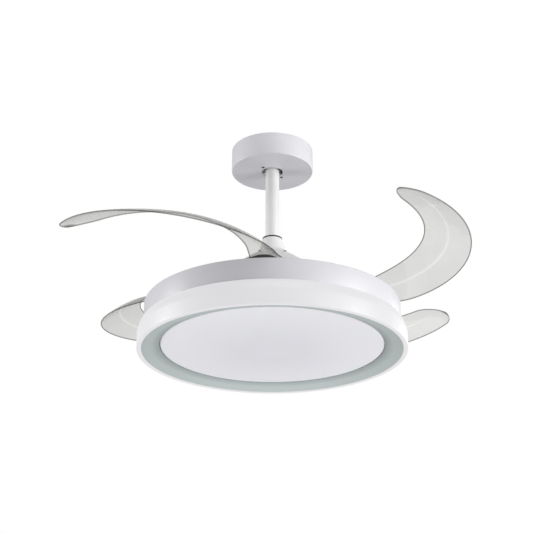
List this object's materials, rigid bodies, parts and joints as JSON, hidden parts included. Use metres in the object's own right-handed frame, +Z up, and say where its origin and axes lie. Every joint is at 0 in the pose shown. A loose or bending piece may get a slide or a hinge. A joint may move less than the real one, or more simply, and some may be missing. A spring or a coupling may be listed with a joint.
{
  "type": "ceiling fan with light",
  "caption": "Ceiling fan hung on a short rod, with clear curved blades that fold in step above a drum-shaped light, a round canopy and a swinging ball mount.",
  "frame": {"origin": "on the fan's vertical axis at the ceiling, on the top face of the mounting bracket", "axes": "+Z up along the rod and the motor shaft, -Y towards the viewer of the picture, +X to the right"},
  "size_m": [0.7326, 0.7326, 0.4215],
  "materials": {
    "white_paint": "white satin powder coat on steel",
    "white_plastic": "satin white moulded plastic",
    "clear_plastic": "clear acrylic with a faint grey tint, polished",
    "opal_plastic": "opal white light diffuser",
    "black_plastic": "satin black moulded plastic",
    "black_rubber": "matt black rubber",
    "silver_paint": "silver-grey satin reflector paint",
    "zinc_steel": "zinc plated steel",
    "dark_steel": "black oxide steel",
    "nylon": "natural nylon",
    "copper": "enamelled copper wire",
    "board": "white-coated aluminium circuit board"
  },
  "bodies": {
    "ceiling_mount": {"mounting_bracket": "zinc_steel", "canopy": "white_paint", "canopy_screw_1": "dark_steel", "canopy_screw_2": "dark_steel", "ball_seat": "black_rubber", "terminal_block": "nylon"},
    "hanging_unit": {"down_rod": "white_paint", "drum_housing": "white_paint", "rod_collar": "white_plastic", "coupling_cover": "white_plastic", "lower_ring": "white_plastic", "led_driver": "white_plastic", "diffuser": "opal_plastic", "hanger_ball": "black_plastic", "receiver_box": "black_plastic", "gasket_ring": "black_rubber", "reflector": "silver_paint", "cross_pin": "zinc_steel", "coupling_pin": "zinc_steel", "motor_coupling": "zinc_steel", "motor_shaft": "zinc_steel", "shaft_nut": "zinc_steel", "upper_bearing": "zinc_steel", "lower_bearing": "zinc_steel", "diffuser_clip_1": "zinc_steel", "diffuser_clip_2": "zinc_steel", "diffuser_clip_3": "zinc_steel", "cover_screw_1": "dark_steel", "cover_screw_2": "dark_steel", "cover_screw_3": "dark_steel", "cover_screw_4": "dark_steel", "stator_core": "dark_steel", "stator_winding_upper": "copper", "stator_winding_lower": "copper", "led_board": "board"},
    "rotor": {"blade_carrier": "white_plastic", "carrier_cover": "white_plastic", "rotor_base": "zinc_steel", "motor_cover": "white_paint", "magnet_ring": "dark_steel", "return_spring": "zinc_steel", "pivot_pin_1": "zinc_steel", "pivot_pin_2": "zinc_steel", "pivot_pin_3": "zinc_steel", "pivot_pin_4": "zinc_steel"},
    "sun_gear": {"sun_gear": "nylon"},
    "blade_1": {"blade_1": "clear_plastic", "blade_arm_1": "nylon", "blade_cap_1": "black_plastic"},
    "blade_2": {"blade_2": "clear_plastic", "blade_arm_2": "nylon", "blade_cap_2": "black_plastic"},
    "blade_3": {"blade_3": "clear_plastic", "blade_arm_3": "nylon", "blade_cap_3": "black_plastic"},
    "blade_4": {"blade_4": "clear_plastic", "blade_arm_4": "nylon", "blade_cap_4": "black_plastic"}
  },
  "joints": [
    {"name": "ball_swing", "type": "hinge", "parent": "ceiling_mount", "child": "hanging_unit", "pos_m": [0, 0, -0.019], "axis": [1, 0, 0], "range_deg": [-8, 8]},
    {"name": "motor_spin", "type": "hinge", "parent": "hanging_unit", "child": "rotor", "pos_m": [0, 0, -0.333], "axis": [0, 0, 1], "continuous": true},
    {"name": "blade_1_fold", "type": "hinge", "parent": "rotor", "child": "blade_1", "pos_m": [0.12518, -0.04188, -0.333], "axis": [0, 0, 1], "range_deg": [-106, 0]},
    {"name": "blade_2_fold", "type": "hinge", "parent": "rotor", "child": "blade_2", "pos_m": [0.04188, 0.12518, -0.333], "axis": [0, 0, 1], "range_deg": [-106, 0]},
    {"name": "blade_3_fold", "type": "hinge", "parent": "rotor", "child": "blade_3", "pos_m": [-0.12518, 0.04188, -0.333], "axis": [0, 0, 1], "range_deg": [-106, 0]},
    {"name": "blade_4_fold", "type": "hinge", "parent": "rotor", "child": "blade_4", "pos_m": [-0.04188, -0.12518, -0.333], "axis": [0, 0, 1], "range_deg": [-106, 0]},
    {"name": "sun_gear_turn", "type": "hinge", "parent": "rotor", "child": "sun_gear", "pos_m": [0, 0, -0.333], "axis": [0, 0, 1], "range_deg": [0, 40]}
  ],
  "couplings": [
    {"joint": "blade_2_fold", "follows": "blade_1_fold", "ratio": 1},
    {"joint": "blade_3_fold", "follows": "blade_1_fold", "ratio": 1},
    {"joint": "blade_4_fold", "follows": "blade_1_fold", "ratio": 1},
    {"joint": "sun_gear_turn", "follows": "blade_1_fold", "ratio": -0.375}
  ]
}
